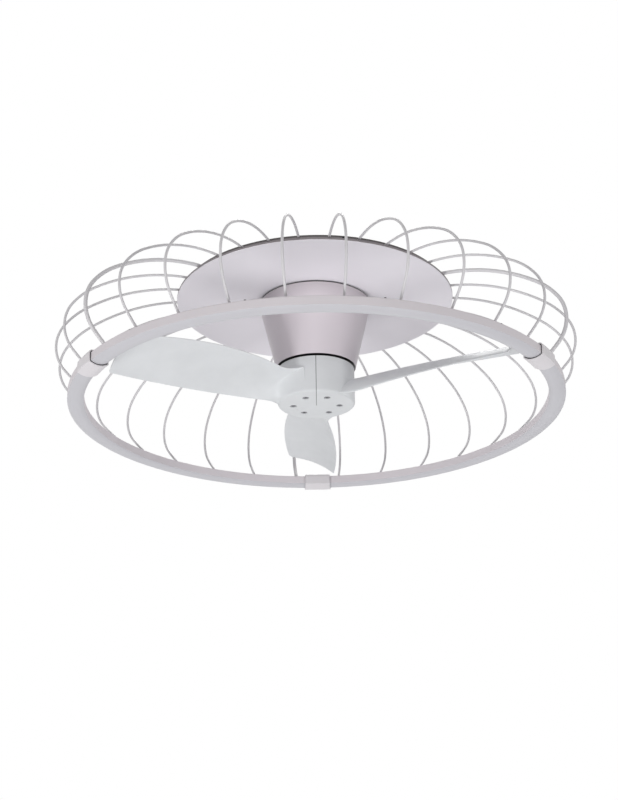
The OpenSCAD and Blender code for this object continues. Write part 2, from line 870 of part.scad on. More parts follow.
// a sleeve over the joint of two ring sections, relieved inside both of its mouths
module ring_clip(k) {
    // the ring's outline, grown by d
    function outline(d) = concat(
        arc([ring_r - corner_r, ring_top_z - corner_r], corner_r + d, 0, 90, 4),
        arc([ring_in_r + corner_r, ring_top_z - corner_r], corner_r + d, 90, 180, 4),
        under(d, asin((ring_w / 2 + d) / (arch_r + d)))
    );
    // the bottom arch stops a little short of the side walls, so that they stay upright
    function under(d, a) = arc(arch_c, arch_r + d, -90 - 0.985 * a, -90 + 0.985 * a, 12);
    mouth_deg = clip_mouth / ring_r * 180 / PI;
    color("mistyrose")
        rotate([0, 0, joint_az(k)])
            difference() {
                rotate([0, 0, -clip_half_deg])
                    rotate_extrude(angle = 2 * clip_half_deg)
                        difference() {
                            polygon(outline(slip + clip_t));
                            polygon(outline(slip));
                        }
                for (start = [-clip_half_deg - 1, clip_half_deg - mouth_deg])
                    rotate([0, 0, start])
                        rotate_extrude(angle = mouth_deg + 1)
                            polygon(outline(slip + clip_relief));
            }
}

// dark socket screws that hold the bars up against the ring's upper face
module ring_screws() {
    head_r = 1.3;
    head_h = 1.2;
    socket_r = 0.7;
    shank = channel_t + 2.4;
    color("dimgray")
        for (k = [1:blades])
            ring_screw_places(k)
                translate([ring_screw_at, 0, ring_top_z])
                    difference() {
                        union() {
                            cylinder(r = head_r, h = head_h);
                            translate([0, 0, -shank])
                                cylinder(r = ring_screw_r, h = shank + eps);
                        }
                        translate([0, 0, head_h / 2])
                            cylinder(r = socket_r, h = head_h, $fn = 6);
                    }
}

// ---------------------------------------------------------------- cage

function spoke_radius(i) = (is_tube(i) ? tube_d : rod_d) / 2;

// heading of a spoke, in degrees down from level, after n arcs
function heading(n) = n == 0 ? 0 : heading(n - 1) + turns[n - 1];
// how far an arc of unit radius runs out and down
function run_out(n) = sin(heading(n + 1)) - sin(heading(n));
function run_down(n) = cos(heading(n)) - cos(heading(n + 1));
last_heading = heading(len(turns));
bend_out = -foot_bend_r * (1 - sin(last_heading));
bend_down = foot_bend_r * -cos(last_heading);
// the first two radii follow from where the spoke starts and where its foot stands
span_out = foot_r - bend_out - drum_r - lead_in - low_r * run_out(2) - foot_sweep_r * run_out(3);
span_down = spoke_z - ring_top_z - bend_down - low_r * run_down(2) - foot_sweep_r * run_down(3);
det = run_out(0) * run_down(1) - run_out(1) * run_down(0);
sweep_r = [
    (span_out * run_down(1) - run_out(1) * span_down) / det,
    (run_out(0) * span_down - span_out * run_down(0)) / det,
    low_r,
    foot_sweep_r
];
function arc_start(n) =
    n == 0 ? [drum_r + lead_in, spoke_z]
           : arc_start(n - 1) + sweep_r[n - 1] * [run_out(n - 1), -run_down(n - 1)];

// a bent length of round bar: an arc about centre c in the (radius, height)
// plane, from angle a through the angle sweep. It stops just short of its ends.
module bent_bar(c, bend_r, a, sweep, r) {
    short = seam_gap / bend_r * 180 / PI;
    translate([c[0], 0, c[1]])
        rotate([90, 0, 0])
            rotate([0, 0, a + short])
                rotate_extrude(angle = sweep - 2 * short)
                    translate([bend_r, 0])
                        circle(r = r);
}

// the hair-thin collar that closes the seam between two lengths of bar, at
// point p where the bar heads down by h degrees
module seam(p, h, r) {
    translate([p[0], 0, p[1]])
        rotate([0, h + 90, 0])
            translate([0, 0, -seam_h / 2])
                cylinder(r = r + seam_out, h = seam_h);
}

// the whole bar: from inside the drum, out and round, down into the ring
module bar(r, past_ends = 0) {
    foot_z = ring_top_z - foot_in - past_ends;
    start_x = drum_r - drum_t - spoke_inset - past_ends;
    foot_c = [foot_r + foot_bend_r, ring_top_z];
    translate([0, 0, spoke_z])
        rod_x(r, start_x, drum_r + lead_in - seam_gap);
    for (n = [0:len(turns) - 1]) {
        p = arc_start(n);
        h = heading(n);
        bent_bar(p - sweep_r[n] * [sin(h), cos(h)], sweep_r[n], 90 - h - turns[n], turns[n], r);
        seam(p, h, r);
    }
    seam(arc_start(len(turns)), last_heading, r);
    bent_bar(foot_c, foot_bend_r, 270 - last_heading, last_heading - 90, r);
    seam([foot_r, ring_top_z], 90, r);
    translate([foot_r, 0, foot_z])
        cylinder(r = r, h = ring_top_z - foot_z - seam_gap);
}

// the upset head that holds a bar behind the drum's wall
module bar_head(r) {
    translate([0, 0, spoke_z])
        rod_x(r + head_out, drum_r - drum_t - head_h - 0.1, drum_r - drum_t - 0.1);
}

// spoke i: a solid rod, or a tube for the ring's leads
module spoke(i) {
    color("white")
        rotate([0, 0, spoke_az(i)])
            if (is_tube(i))
                difference() {
                    union() {
                        bar(tube_d / 2);
                        bar_head(tube_d / 2);
                    }
                    bar(tube_d / 2 - tube_wall, 1);
                }
            else {
                bar(rod_d / 2);
                bar_head(rod_d / 2);
            }
}

// ---------------------------------------------------------------- what is drawn

ceiling_bracket();
canopy_drum();
canopy_plate();
canopy_screws();
terminal_block();
driver_box();
motor_flange();
motor_housing();
ball_bearings();
stator_core();
stator_windings();
motor_shaft();
shaft_clip();
rotor_can();
rotor_magnets();
blade_screws();
led_boards();
ring_screws();
for (k = [1:blades]) {
    blade(k);
    ring_channel(k);
    ring_diffuser(k);
    ring_clip(k);
}
for (i = spoke_ids)
    spoke(i);
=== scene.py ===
# %% [markdown]
# # A ceiling fan in a wire cage, with a light ring
# The fan hangs flush under a ceiling. A round cover carries a tapered motor housing; below it a hub
# with three twisted blades turns. Thirty bent rods leave the cover, swing out and down past the blade
# tips and hold a square light ring, so that they form an open cage.
# The bodies, sizes and joints are already settled in CAD and come in as a fixed frame. What is left
# for Blender is how it looks. Shapes that have to look smooth are worked out again here as surfaces
# with numpy; every other part keeps its CAD mesh and only gets a finish.

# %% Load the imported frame
import math

import bmesh
import bpy
import numpy as np
from mathutils import Matrix, Vector


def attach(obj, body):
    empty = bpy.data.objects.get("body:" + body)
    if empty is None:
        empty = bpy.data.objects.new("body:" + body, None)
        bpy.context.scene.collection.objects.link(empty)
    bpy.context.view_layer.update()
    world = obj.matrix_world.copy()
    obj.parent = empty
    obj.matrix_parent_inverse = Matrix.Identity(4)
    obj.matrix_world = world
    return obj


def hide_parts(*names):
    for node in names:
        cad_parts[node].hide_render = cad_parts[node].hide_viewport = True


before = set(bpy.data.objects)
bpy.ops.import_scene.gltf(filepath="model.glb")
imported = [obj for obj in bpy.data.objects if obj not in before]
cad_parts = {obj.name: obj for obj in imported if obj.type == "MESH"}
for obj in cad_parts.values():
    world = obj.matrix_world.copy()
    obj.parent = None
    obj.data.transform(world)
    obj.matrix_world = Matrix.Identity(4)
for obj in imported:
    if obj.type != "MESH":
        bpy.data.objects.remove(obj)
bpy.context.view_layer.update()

print("parts in the frame:", len(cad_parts))

# %% [markdown]
# ## Sizes
# Everything is in metres at full size, with the ceiling at z = 0 and the fan's axis on the Z axis.
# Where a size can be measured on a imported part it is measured, so that a new surface follows the CAD
# part. The others are the CAD part's own values.

# %% Measure the parts that new surfaces fit to
MM = 0.001


def reach(node):
    """Largest distance from the fan's axis, and the lowest and highest point, of a CAD node."""
    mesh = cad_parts[node].data
    points = np.empty(3 * len(mesh.vertices), np.float32)
    mesh.vertices.foreach_get("co", points)
    x, y, z = points.reshape(-1, 3).T
    return float(np.hypot(x, y).max()), float(z.min()), float(z.max())


RING_R, RING_CREASE_Z, RING_TOP_Z = reach("ring_channel_1")
PLATE_R, PLATE_Z, PLATE_RIM_Z = reach("canopy_plate")
DRUM_R = reach("canopy_drum")[0]
BLADE_TIP_R, HUB_Z = reach("blade_1")[:2]
HOUSING_R, HOUSING_LOW_Z = reach("motor_housing")[:2]
RING_W = 19.5 * MM
HUB_R, HUB_H = 46.8 * MM, 46.3 * MM
THIRDS = (90, 210, 330)  # azimuth of each blade and of each joint of the ring
print("ring", RING_R, "plate", PLATE_R, "hub underside", HUB_Z, "blade tip", BLADE_TIP_R)

# %% [markdown]
# ## Camera
# The photograph looks up at the fan from about 1.8 m, 22 degrees above level. The camera was solved
# from the ring's ellipses, the cover, the housing and the hub's screws, which also gave its focal
# length. Blender's lens is focal length over sensor width, and in an upright picture the sensor width
# belongs to the long side, 800 pixels here.

# %% Place the camera
PHOTO_H, FOCAL_PX = 800, 1444.1  # pixels
SENSOR_W = 36  # millimetres
CAMERA_AT = (-0.0015, -1.6278, -0.7846)
YAW, PITCH, ROLL = -0.0046, 0.3784, -0.0139  # radians


def camera_axes(yaw, pitch, roll):
    """The camera's right, up and backward directions: it turns by yaw about Z, tips up by pitch and then rolls."""
    ahead = Vector((math.sin(yaw) * math.cos(pitch), math.cos(yaw) * math.cos(pitch), math.sin(pitch)))
    level = Vector((math.cos(yaw), -math.sin(yaw), 0))
    upright = level.cross(ahead)
    right = level * math.cos(roll) + upright * math.sin(roll)
    up = upright * math.cos(roll) - level * math.sin(roll)
    return right, up, -ahead


camera = bpy.data.objects.new("camera", bpy.data.cameras.new("camera"))
bpy.context.scene.collection.objects.link(camera)
camera.data.sensor_width = SENSOR_W
camera.data.lens = SENSOR_W * FOCAL_PX / PHOTO_H
right, up, back = camera_axes(YAW, PITCH, ROLL)
camera.matrix_world = Matrix.Translation(CAMERA_AT) @ Matrix(
    [(right[i], up[i], back[i], 0) for i in range(3)] + [(0, 0, 0, 1)])
camera.data.clip_start = 0.05
camera.data.clip_end = 60
bpy.context.scene.camera = camera
print("lens", round(camera.data.lens, 2), "mm")

# %% [markdown]
# ## Shader maths in Python
# A material is a graph of nodes. Written out link by link it hides the sum that it does, so a small
# class wraps a socket and lets plain operators build the Math nodes: `0.4 + 0.1 * grain` reads as
# what it means. The reflected operators let a number stand on the left. Colours don't go through Math
# nodes, which would turn them grey; they are mixed.

# %% A socket that takes part in sums
class Socket:
    """A node's output in one material. Operators add Math nodes; colours use mixed()."""

    def __init__(self, tree, output):
        self.tree = tree
        self.output = output

    def node(self, kind, settings=None, inputs=None):
        """Add a node of that type: settings first, then values or links for its sockets."""
        return add_node(self.tree, kind, settings, inputs)

    def math(self, operation, *others):
        """Add a Math node on this output and up to two more numbers or outputs."""
        return self.node("ShaderNodeMath", {"operation": operation}, dict(enumerate((self, *others))))[0]

    def __add__(self, other):
        return self.math("ADD", other)

    def __sub__(self, other):
        return self.math("SUBTRACT", other)

    def __rsub__(self, other):
        return self.node("ShaderNodeMath", {"operation": "SUBTRACT"}, {0: other, 1: self})[0]

    def __mul__(self, other):
        return self.math("MULTIPLY", other)

    def __pow__(self, other):
        return self.math("POWER", other)

    __radd__ = __add__
    __rmul__ = __mul__

    def clamped(self):
        return self.math("MAXIMUM", 0.0).math("MINIMUM", 1.0)

    def mapped(self, low, high, to_low=0.0, to_high=1.0):
        """Straight-line map of low..high onto to_low..to_high, held at both ends."""
        limits = {"From Min": low, "From Max": high, "To Min": to_low, "To Max": to_high}
        return self.node("ShaderNodeMapRange", {"clamp": True}, {"Value": self, **limits})[0]


class Outputs:
    """A new node's outputs, by number or by name."""

    def __init__(self, tree, node):
        self.tree = tree
        self.made = node

    def __getitem__(self, key):
        return Socket(self.tree, self.made.outputs[key])


def add_node(tree, kind, settings=None, inputs=None):
    """Make a node, set its options, then fill its sockets with numbers, colours or links."""
    node = tree.nodes.new(kind)
    for name, value in (settings or {}).items():
        if name == "stops":
            ramp = node.color_ramp
            while len(ramp.elements) < len(value):
                ramp.elements.new(0.5)
            for element, (place, colour) in zip(ramp.elements, value):
                element.position = place
                element.color = colour
        else:
            setattr(node, name, value)
    for name, value in (inputs or {}).items():
        if isinstance(value, Socket):
            tree.links.new(value.output, node.inputs[name])
        else:
            node.inputs[name].default_value = value
    return Outputs(tree, node)


print("shader helpers ready")

# %% [markdown]
# ## Colours
# The colours below are given in the 0 to 255 numbers that a screen shows. Blender wants linear light,
# so each one is converted once.

# %% Screen colours to linear ones
def paint(red, green, blue):
    """A screen colour as linear light: the sRGB curve, plus an alpha of 1."""
    def linear(v):
        v = v / 255
        return v / 12.92 if v <= 0.04045 else ((v + 0.055) / 1.055) ** 2.4
    return (linear(red), linear(green), linear(blue), 1.0)


def mixed(tree, low, high, share):
    """Blend two colours, or a colour and a colour socket, by a share from 0 to 1."""
    return add_node(tree, "ShaderNodeMix", {"data_type": "RGBA"}, {"Factor": share, 6: low, 7: high})[2]


print("white paint", [round(v, 3) for v in paint(226, 224, 228)])

# %% [markdown]
# ## Drift, gloss and grain
# Real finishes are made of the same few things at different scales: a broad, faint drift of tone, a
# gloss that wavers, and a fine grain. Each is noise read at the object's own coordinates, in metres,
# so that it stays put when the camera moves and has its true size. A part that turns keeps its
# pattern because its coordinates turn with it.

# %% Noise at a real size
def place(tree):
    """The point on the surface, in metres from the fan's origin."""
    return add_node(tree, "ShaderNodeTexCoord")["Object"]


def noise(tree, size, detail=2, roughness=0.5, stretch=None):
    """Noise from 0 to 1 whose blobs are about `size` metres across; stretch squeezes it along an axis."""
    point = place(tree)
    if stretch:
        point = add_node(tree, "ShaderNodeMapping", {"vector_type": "POINT"}, {"Vector": point, "Scale": stretch})[0]
    return add_node(tree, "ShaderNodeTexNoise", {"noise_dimensions": "3D"},
                    {"Vector": point, "Scale": 1 / size, "Detail": detail, "Roughness": roughness})[0]


def bump(tree, height, depth):
    """Turn a height from 0 to 1 into a tilt of the surface, as if it stood `depth` metres proud."""
    return add_node(tree, "ShaderNodeBump", {}, {"Strength": 1.0, "Distance": depth, "Height": height})["Normal"]


def drift(tree, size=0.09):
    """A tone from 0 to 1 that changes slowly, over a hand's width unless told otherwise."""
    return noise(tree, size).mapped(0.3, 0.7)


def distance_from_axis(spot):
    """The root of x squared plus y squared, of a point that is split into X, Y and Z."""
    return (spot["X"] * spot["X"] + spot["Y"] * spot["Y"]) ** 0.5


def wavering(middle, spread=0.06, size=0.012, detail=2):
    return lambda tree: middle + spread * noise(tree, size, detail)


def peel(size, depth, detail=1):
    return lambda tree: bump(tree, noise(tree, size, detail), depth)


print("noise helpers ready")

# %% [markdown]
# ## One shell for all materials
# All finishes end in the same Principled shader. Numbers that are the same all over the part are set
# on the shader's own sockets; only what changes over the surface is linked.

# %% A finish
def finish(name, colour, roughness, normal=None, **fixed):
    """A material with the given colour, roughness and normal, and fixed values for other sockets."""
    material = bpy.data.materials.new(name)
    material.use_nodes = True
    tree = material.node_tree
    tree.nodes.clear()
    inputs = {"Base Color": colour(tree), "Roughness": roughness(tree) if callable(roughness) else roughness}
    if normal:
        inputs["Normal"] = normal(tree)
    shader = add_node(tree, "ShaderNodeBsdfPrincipled", {}, {**inputs, **fixed})["BSDF"]
    add_node(tree, "ShaderNodeOutputMaterial", {}, {"Surface": shader})
    return material


print("one shell for all finishes")

# %% [markdown]
# ## Powder coat
# The canopy, the housing, the rods and the ring are taken for steel and aluminium with a fine powder
# coat: a dry white powder that is baked until it runs together. It never gets quite smooth. Close up it
# has a soft orange peel one to two millimetres across and a tone that drifts a little over a hand's
# width. The same drift, gloss and peel serve for all of them, in slightly different whites.

# %% Powder coat recipe
PEEL, PEEL_DEPTH = 1.6 * MM, 0.005 * MM


def powder_coat(name, light, shade, gloss, size=PEEL):
    """Two close whites, mixed nine parts by the drift and one by a fine grain, under an orange peel."""
    return finish(
        name,
        colour=lambda t: mixed(t, paint(*shade), paint(*light), drift(t) * 0.9 + noise(t, 2 * MM, detail=1) * 0.1),
        roughness=wavering(gloss),
        normal=peel(size, PEEL_DEPTH))


ring_white = powder_coat("ring_powder_coat", (228, 222, 226), (222, 216, 220), gloss=0.46)
clip_white = powder_coat("clip_powder_coat", (230, 226, 229), (224, 220, 223), gloss=0.42)
rod_white = powder_coat("rod_powder_coat", (223, 221, 223), (215, 213, 216), gloss=0.42, size=1.2 * MM)
print("powder coats:", ring_white.name, clip_white.name, rod_white.name)

# %% [markdown]
# The gap over the hub and the joint under the cover are fine dark lines of shade, and that shade is painted: the
# housing's inside, the lip at its lower edge and the neck under the cover are made black. The finish works out how
# deep a point lies behind the cone's outer surface, whose radius grows evenly with height, and turns black where that
# depth passes 0.4 mm. The last half millimetre of the cone's upper edge is black too, which gives the painted shadow
# line there its width. The white of the cone is also darkened towards the cover, as painted shade.

# %% A housing that is white, with painted shade under the cover and black painted shade in its gaps
CONE_LOW_R, CONE_TOP_Z = 48.8 * MM, PLATE_Z - 1.5 * MM
CONE_SLOPE = (HOUSING_R - CONE_LOW_R) / (CONE_TOP_Z - HOUSING_LOW_Z)
# painted shade: over this stretch under the cover the white is darkened
PAINTED_SHADE_H = 18 * MM  # the stretch under the cover over which the white grows darker


def housing_colour(tree):
    """Pinkish white on the cone, darkened towards the cover by painted shade, and black as painted shade where the
    surface lies behind the cone.
    """
    white = mixed(tree, paint(216, 208, 214), paint(223, 215, 221), drift(tree))
    black = mixed(tree, paint(16, 15, 16), paint(26, 25, 26), noise(tree, 4 * MM))
    spot = add_node(tree, "ShaderNodeSeparateXYZ", {}, {"Vector": place(tree)})
    depth = CONE_LOW_R + (spot["Z"] - HOUSING_LOW_Z) * CONE_SLOPE - distance_from_axis(spot)
    # painted shade: the cone's white darkens towards the cover
    painted_shade = spot["Z"].mapped(CONE_TOP_Z - PAINTED_SHADE_H, CONE_TOP_Z) * 0.9
    white = mixed(tree, white, paint(196, 188, 193), painted_shade)
    # painted shade: black inside the housing, on its lip, on the neck and on the cone's top edge
    painted_gap_shade = depth.mapped(0.3 * MM, 0.5 * MM) + spot["Z"].mapped(CONE_TOP_Z - 0.6 * MM, CONE_TOP_Z - 0.4 * MM)
    return mixed(tree, white, black, painted_gap_shade.clamped())


housing_white = finish("housing_powder_coat", housing_colour, wavering(0.36), peel(PEEL, PEEL_DEPTH))
print(housing_white.name, "cone opens by", round(1000 * CONE_SLOPE), "micrometres in each millimetre")

# %% [markdown]
# ## Cover and drum
# The cover is white where it faces down. Its turned-up rim and the drum above it are given a brownish grey, which is
# painted shade, and a darker line along the drum's upper edge is a painted shadow under the ceiling. The finish tells
# them apart by height: the white ends 0.7 mm above the cover's underside, and the painted shadow line is the last 2
# mm under the ceiling.

# %% White below, painted shade above, painted shadow at the ceiling
WHITE_TOP_Z, CEILING_SHADOW_Z = PLATE_Z + 0.7 * MM, -2 * MM


def canopy_colour(tree):
    """Cool white, then brownish grey painted shade above the rim's corner, then a mottled dark painted shadow under
    the ceiling, by height.
    """
    height = add_node(tree, "ShaderNodeSeparateXYZ", {}, {"Vector": place(tree)})["Z"]
    tone = drift(tree)
    white = mixed(tree, paint(236, 232, 238), paint(242, 238, 244), tone)
    # painted shade: brownish grey on the rim and the drum
    grey = mixed(tree, paint(138, 131, 134), paint(150, 143, 146), tone)
    # painted shadow: a dark line in the last 2 mm under the ceiling
    ceiling_shadow_line = mixed(tree, paint(74, 69, 70), paint(98, 92, 93), drift(tree, 1.5 * MM))
    painted = mixed(tree, white, grey, height.mapped(WHITE_TOP_Z - 0.1 * MM, WHITE_TOP_Z + 0.1 * MM))
    return mixed(tree, painted, ceiling_shadow_line, height.mapped(CEILING_SHADOW_Z - 0.3 * MM, CEILING_SHADOW_Z + 0.3 * MM))


canopy_coat = finish("canopy_coat", canopy_colour, wavering(0.46), peel(PEEL, PEEL_DEPTH))
print(canopy_coat.name)

# %% [markdown]
# ## Moulded plastic
# Each blade is moulded in one piece with a third of the hub, in a neutral, slightly grey plastic with a fine matt
# texture. Its tone drifts a little over a few centimetres. The thirds meet at three seams, all equally wide. Only the
# front one shows as a dark line down the hub and across its underside, which is the shade in its narrow gap. That
# seam lies in the plane x = 0, in front of the axis, and so the finish paints that shade as a grey line within 0.4 mm
# of that plane and leaves the other two seams white.

# %% Blade plastic
def blade_colour(tree):
    """Neutral white with a drift and a fine grain, and a grey line of painted shade where x is near 0 and y below 0.
    """
    broad = noise(tree, 50 * MM, detail=3, roughness=0.6).mapped(0.3, 0.7)
    white = mixed(tree, paint(219, 221, 223), paint(228, 230, 232), broad * 0.9 + noise(tree, 2 * MM, detail=1) * 0.1)
    spot = add_node(tree, "ShaderNodeSeparateXYZ", {}, {"Vector": place(tree)})
    # painted shade: a grey line along the front seam only
    beside = spot["X"].math("ABSOLUTE").mapped(0.3 * MM, 0.5 * MM, 1, 0)
    in_front = spot["Y"].mapped(-1 * MM, 0, 1, 0)
    return mixed(tree, white, paint(140, 140, 143), beside * in_front)


blade_white = finish("blade_abs", blade_colour, wavering(0.44, size=20 * MM), peel(1.2 * MM, 0.006 * MM),
                     **{"Specular IOR Level": 0.45})
print(blade_white.name)

# %% [markdown]
# ## Opal diffuser
# The ring's cover is opal acrylic, milky all through. Unlit, and only 2 mm thick over a white bar, it
# looks like a slightly cool satin white with a very faint drift; the polish varies more than the tone.

# %% Opal acrylic
opal = finish(
    "opal_acrylic",
    colour=lambda t: mixed(t, paint(201, 200, 205), paint(208, 207, 212), noise(t, 80 * MM)),
    roughness=wavering(0.42, detail=1),
    normal=peel(6 * MM, 0.008 * MM))
print(opal.name)

# %% [markdown]
# ## Bare metal
# Behind the paint there are plain metals: zinc-plated sheet with its faint spangle, blackened steel
# screws, a die-cast flange, laminated core steel, enamelled copper wire. They show from above and
# between the cage rods, so each gets its own grain: stretched along a direction for drawn or turned
# parts, blotchy for plated or cast ones.

# %% Zinc, steel, castings and copper
def metal(name, light, shade, grain, rough, stretch=None, depth=0.000015, metallic=1.0):
    """A metal whose tone and roughness both follow one grain, in metres, with an optional brushed direction."""
    return finish(
        name,
        colour=lambda t: mixed(t, paint(*shade), paint(*light),
                               noise(t, grain, detail=4, roughness=0.6, stretch=stretch).mapped(0.25, 0.75)),
        roughness=lambda t: noise(t, grain * 2, detail=3, stretch=stretch).mapped(0.3, 0.7, *rough),
        normal=lambda t: bump(t, noise(t, grain, detail=3, stretch=stretch), depth),
        Metallic=metallic)


# painted shade: the rotor can is near-black so the gap over the hub, where it shows, stays dark
can_gap_shade = metal("rotor_can_painted_shade", (44, 44, 47), (24, 24, 27), grain=0.0015, rough=(0.55, 0.75), metallic=0.2)
zinc = metal("zinc_plated_steel", (196, 200, 204), (160, 165, 172), grain=0.006, rough=(0.28, 0.46))
black_steel = metal("blackened_steel", (62, 62, 66), (30, 30, 34), grain=0.0012, rough=(0.35, 0.6), metallic=0.8)
cast_grey = metal("cast_aluminium", (150, 152, 156), (116, 118, 123), grain=0.0016, rough=(0.45, 0.7), depth=0.00006)
screw_steel = metal("screw_steel", (146, 146, 150), (98, 98, 103), grain=0.0012, rough=(0.3, 0.5), metallic=0.7)
bright_steel = metal("ground_steel", (205, 206, 208), (176, 178, 182), grain=0.0008, stretch=(1, 1, 14),
                     rough=(0.18, 0.32))
core_laminations = metal("core_laminations", (120, 122, 128), (74, 76, 82), grain=0.0009, stretch=(0.05, 0.05, 1),
                         rough=(0.35, 0.55), depth=0.00005)
copper = metal("enamelled_copper", (196, 112, 62), (150, 72, 34), grain=0.0007, stretch=(0.2, 0.2, 1),
               rough=(0.22, 0.36), depth=0.00008)
magnet = metal("plated_magnet", (150, 150, 154), (112, 112, 118), grain=0.003, rough=(0.3, 0.45))
led_metal = metal("extruded_aluminium", (198, 200, 203), (168, 171, 176), grain=0.001, stretch=(1, 1, 0.05),
                  rough=(0.3, 0.45))
print("metals:", zinc.name, black_steel.name, cast_grey.name, bright_steel.name, copper.name)

# %% [markdown]
# ## Electrical plastics, and painted shade at the clips
# The driver box is a black flame-proof moulding and the terminal block is natural nylon. The dark lines at the clips
# on the ring are painted shade: the shadow in the gap at each end of a sleeve, given a black rubber-like finish.

# %% Moulded finishes, and the painted gap shade at the clips
def plastic(name, light, shade, gloss=0.45, texture=0.6 * MM):
    """A moulded plastic with a fine mould texture and a slight drift of tone."""
    return finish(
        name,
        colour=lambda t: mixed(t, paint(*shade), paint(*light), noise(t, 10 * MM, detail=3).mapped(0.3, 0.7)),
        roughness=wavering(gloss, spread=0.12, size=4 * MM),
        normal=peel(texture, 0.03 * MM, detail=2))


driver_black = plastic("driver_case", (46, 48, 52), (32, 34, 38))
terminal_white = plastic("terminal_nylon", (222, 218, 204), (206, 201, 186), gloss=0.4)
# a black finish that stands for the painted shade in the gaps at the clips
clip_gap_shade_finish = plastic("clip_gap_painted_shade", (26, 25, 27), (16, 15, 17), gloss=0.7, texture=0.4 * MM)
print("plastics:", driver_black.name, terminal_white.name, clip_gap_shade_finish.name)

# %% [markdown]
# ## From numbers to a mesh
# Every new surface below is a grid of points: a shape is a function of two parameters, worked out for
# the whole grid at once as an array. Neighbouring points make a four-sided face. A grid can close on
# itself in one direction, as a tube does. Faces must look outwards, so the volume inside is added up,
# and if it comes out negative the faces are turned round.

# %% Grids, caps and pieces
def grid_faces(rows, columns, wrap_columns=False):
    """Quads between the points of a grid that are numbered row by row."""
    row = np.arange(rows - 1)[:, None] * columns
    column = np.arange(columns if wrap_columns else columns - 1)[None, :]
    beside = (column + 1) % columns
    corners = (row + column, row + beside, row + columns + beside, row + columns + column)
    return np.stack(np.broadcast_arrays(*corners), -1).reshape(-1, 4)


def volume(points, faces):
    """Volume inside quads and longer faces: the sum of tetrahedra from the origin to a fan of each face."""
    total = 0.0
    for ring in faces:
        p = points[ring]
        for k in range(1, p.shape[1] - 1):
            total += np.einsum("ij,ij->i", p[:, 0], np.cross(p[:, k], p[:, k + 1])).sum() / 6
    return total


def piece(name, points, faces, body, material, stands_for=(), crease=35):
    """Make a closed shell a finished piece: merge its seams, face it outwards, smooth it and seat it on its
    body. faces is a list of arrays, one array for each number of corners."""
    points = points.reshape(-1, 3)
    faces = [np.asarray(ring) for ring in faces]
    if volume(points, faces) < 0:
        faces = [ring[:, ::-1] for ring in faces]
    mesh = bpy.data.meshes.new(name)
    mesh.from_pydata(points, [], [face for ring in faces for face in ring.tolist()])
    weld(mesh)
    mesh.shade_smooth()
    mesh.set_sharp_from_angle(angle=math.radians(crease))
    mesh.materials.append(material)
    made = bpy.data.objects.new(name, mesh)
    bpy.context.scene.collection.objects.link(made)
    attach(made, body)
    if stands_for:
        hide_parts(*stands_for)
    return made


def weld(mesh):
    """Merge points that lie on each other, and drop the faces that this leaves without an area."""
    work = bmesh.new()
    work.from_mesh(mesh)
    bmesh.ops.remove_doubles(work, verts=work.verts, dist=0.002 * MM)
    bmesh.ops.dissolve_degenerate(work, edges=work.edges, dist=0.001 * MM)
    work.to_mesh(mesh)
    work.free()


def open_edges(made):
    """How many edges of a piece don't lie between exactly two faces: 0 for a closed shell."""
    work = bmesh.new()
    work.from_mesh(made.data)
    count = sum(1 for edge in work.edges if len(edge.link_faces) != 2)
    work.free()
    return count


def turned(profile, start, sweep, steps):
    """Turn (radius, height) points about the fan's axis: x = radius cos, y = radius sin. Angles in degrees."""
    angle = np.radians(start + sweep * np.linspace(0, 1, steps + 1))
    radius, height = np.asarray(profile, float).T
    return np.stack([np.cos(angle)[:, None] * radius, np.sin(angle)[:, None] * radius,
                     np.broadcast_to(height, (steps + 1, len(height)))], -1)


def arc(centre, radius, start, end, steps):
    """Points of an arc in the plane, from one angle to another in degrees."""
    angle = np.radians(np.linspace(start, end, steps + 1))
    return np.stack([centre[0] + radius * np.cos(angle), centre[1] + radius * np.sin(angle)], -1)


print("mesh helpers ready")

# %% [markdown]
# ## The rods of the cage
# Each rod is one length of 3 mm round bar. It leaves the drum level, turns down past the blades in four
# arcs of different radius, and bends once more, the other way, to stand upright in its hole in the
# ring. Three tubes of 4.5 mm take the place of a rod; they are read as the way down for the leads.
# A curve object with a bevel would do, but the bar's centre line is plain geometry: the same chain of
# arcs as in CAD, where each arc starts in the direction in which the last one ended. Behind the drum's
# wall the bar is upset to a short wider head that holds it. Carrying a circle along the line gives one
# clean mesh that is only turned for the next rod.

# %% The centre line of a rod
SPOKE_Z = PLATE_RIM_Z / 2  # half way up the part of the drum that shows over the rim
FOOT_R = RING_R - RING_W + 5.5 * MM
FOOT_IN = 3 * MM  # how deep the bar stands in the ring
# The first six points lie this far out of the drum's outside, and the bar is this much thicker there.
STRAIGHT = np.array([-5.5, -2.6, -2.6, -1.6, -1.6, 1]) * MM
HEAD = np.array([0, 0, 0.7, 0.7, 0, 0]) * MM
# The four arcs turn the bar by these angles. The radii of the last two are given, and so is the foot's.
TURNS = np.radians([33, 22, 76, 7])
LOW_R, SWEEP_R, FOOT_BEND_R = 47.5 * MM, 200 * MM, 4 * MM

# The first two radii follow: the bar has to land in its hole, both outwards and downwards.
headings = np.concatenate([[0], np.cumsum(TURNS)])
runs_out = np.diff(np.sin(headings))
runs_down = -np.diff(np.cos(headings))
foot_out = -FOOT_BEND_R * (1 - math.sin(headings[-1]))
foot_down = -FOOT_BEND_R * math.cos(headings[-1])
left_out = FOOT_R - foot_out - DRUM_R - STRAIGHT[-1] - LOW_R * runs_out[2] - SWEEP_R * runs_out[3]
left_down = SPOKE_Z - RING_TOP_Z - foot_down - LOW_R * runs_down[2] - SWEEP_R * runs_down[3]
first_two = np.linalg.solve([runs_out[:2], runs_down[:2]], [left_out, left_down])
sweep_radii = [*first_two, LOW_R, SWEEP_R]


